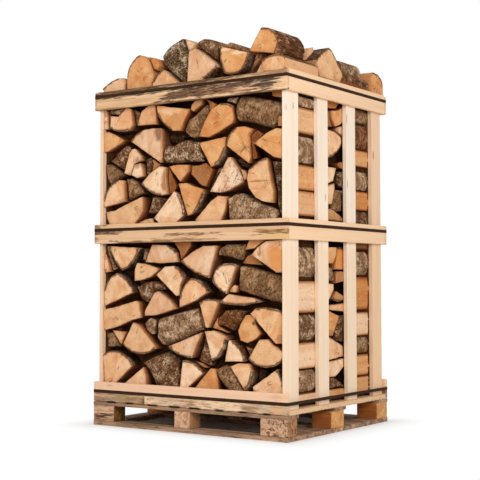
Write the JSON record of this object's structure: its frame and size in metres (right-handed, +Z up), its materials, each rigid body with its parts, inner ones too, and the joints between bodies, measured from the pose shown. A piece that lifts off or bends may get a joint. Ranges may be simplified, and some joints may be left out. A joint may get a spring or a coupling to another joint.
{
  "type": "crate of stacked split firewood on a pallet",
  "caption": "Split firewood logs packed in rows in a slatted wooden crate on a block pallet, heaped above the top rails and held by plastic bands.",
  "frame": {"origin": "centre of the footprint, on the ground under the pallet", "axes": "+Z up; -Y is the open long side that shows the sawn log ends; +X is the slatted short side to the right of it"},
  "size_m": [1.2026, 1.0026, 1.97],
  "materials": {
    "pine": "sawn, unplaned",
    "cream": "sawn, unplaned",
    "pink": "sawn, unplaned",
    "weathered": "sawn, weathered and dusty",
    "grey": "rough, weathered",
    "chip": "pressed wood chips, rough",
    "solid": "rough sawn",
    "strap": "semi-gloss band",
    "log_end": "sawn and split, matt",
    "bark": "rough bark"
  },
  "bodies": {
    "root": {"back_row_logs": "log_end", "base_rail_back": "pink", "base_rail_front": "pink", "block_back_left": "chip", "block_back_middle": "chip", "block_back_right": "solid", "block_front_left": "grey", "block_front_middle": "chip", "block_front_right": "chip", "block_middle_left": "solid", "block_middle_middle": "chip", "block_middle_right": "solid", "front_row_logs": "log_end", "heap_log_01": "log_end", "heap_log_02": "log_end", "heap_log_03": "log_end", "heap_log_04": "log_end", "heap_log_05": "bark", "heap_log_06": "log_end", "heap_log_07": "log_end", "heap_log_08": "bark", "heap_log_09": "log_end", "heap_log_10": "bark", "heap_log_11": "log_end", "heap_log_12": "bark", "heap_log_13": "log_end", "heap_log_14": "log_end", "heap_log_15": "log_end", "heap_log_16": "log_end", "heap_log_17": "log_end", "heap_log_18": "log_end", "heap_log_19": "log_end", "kick_board_back": "weathered", "kick_board_front_1": "weathered", "kick_board_front_2": "weathered", "kick_board_front_3": "weathered", "middle_row_logs": "log_end", "pallet_base": "weathered", "pallet_deck": "weathered", "rail_middle_back": "pine", "rail_middle_front": "pine", "rail_middle_left": "pine", "rail_middle_right": "pine", "rail_top_back": "pine", "rail_top_front": "pine", "rail_top_left": "pine", "rail_top_right": "pine", "slat_left_1": "cream", "slat_left_2": "cream", "slat_left_3": "cream", "slat_left_4": "cream", "slat_right_1": "cream", "slat_right_2": "cream", "slat_right_3": "cream", "slat_right_4": "cream", "strap_base": "strap", "strap_middle": "strap", "strap_top": "strap"}
  },
  "joints": []
}
